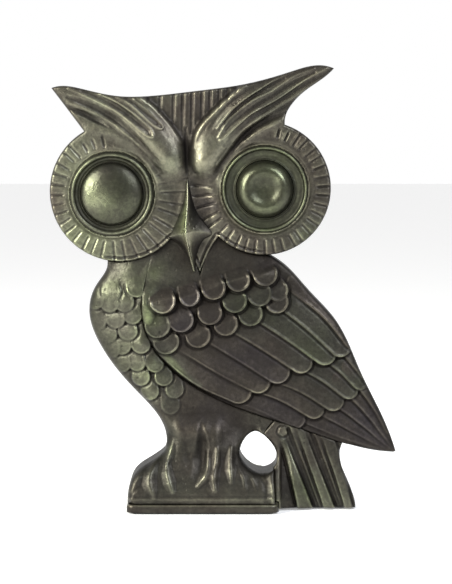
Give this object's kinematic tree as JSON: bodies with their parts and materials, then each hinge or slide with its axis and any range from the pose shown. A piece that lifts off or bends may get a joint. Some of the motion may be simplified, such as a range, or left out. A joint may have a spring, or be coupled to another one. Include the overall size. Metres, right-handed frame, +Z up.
{
  "type": "owl figurine",
  "caption": "Standing relief owl figurine in antiqued cast brass, with large domed eyes, horned brows, a feathered wing and a flat base.",
  "frame": {"origin": "on the surface that the figurine stands on, below the middle of its bounding box", "axes": "+Z up, +X to the viewer's right, the owl faces -Y"},
  "size_m": [0.1148, 0.03, 0.1474],
  "materials": {
    "cast_brass": "antiqued casting, dark patina with worn edges",
    "turned_brass": "turned, patinated",
    "polished_brass": "polished, lightly patinated",
    "sheet_brass": "sawn sheet, satin",
    "steel": "zinc plated",
    "felt": "pressed felt"
  },
  "bodies": {
    "root": {"head_casting": "cast_brass", "body_casting": "cast_brass", "wing_casting": "cast_brass", "tail_casting": "cast_brass", "beak": "cast_brass", "base_plate": "cast_brass", "left_eye_bezel": "turned_brass", "right_eye_bezel": "turned_brass", "left_eye_dome": "polished_brass", "right_eye_dome": "polished_brass", "tail_rivet": "turned_brass", "back_plate": "sheet_brass", "left_eye_washer": "steel", "right_eye_washer": "steel", "left_eye_nut": "steel", "right_eye_nut": "steel", "back_screws": "steel", "base_screws": "steel", "felt_pad": "felt"}
  },
  "joints": []
}
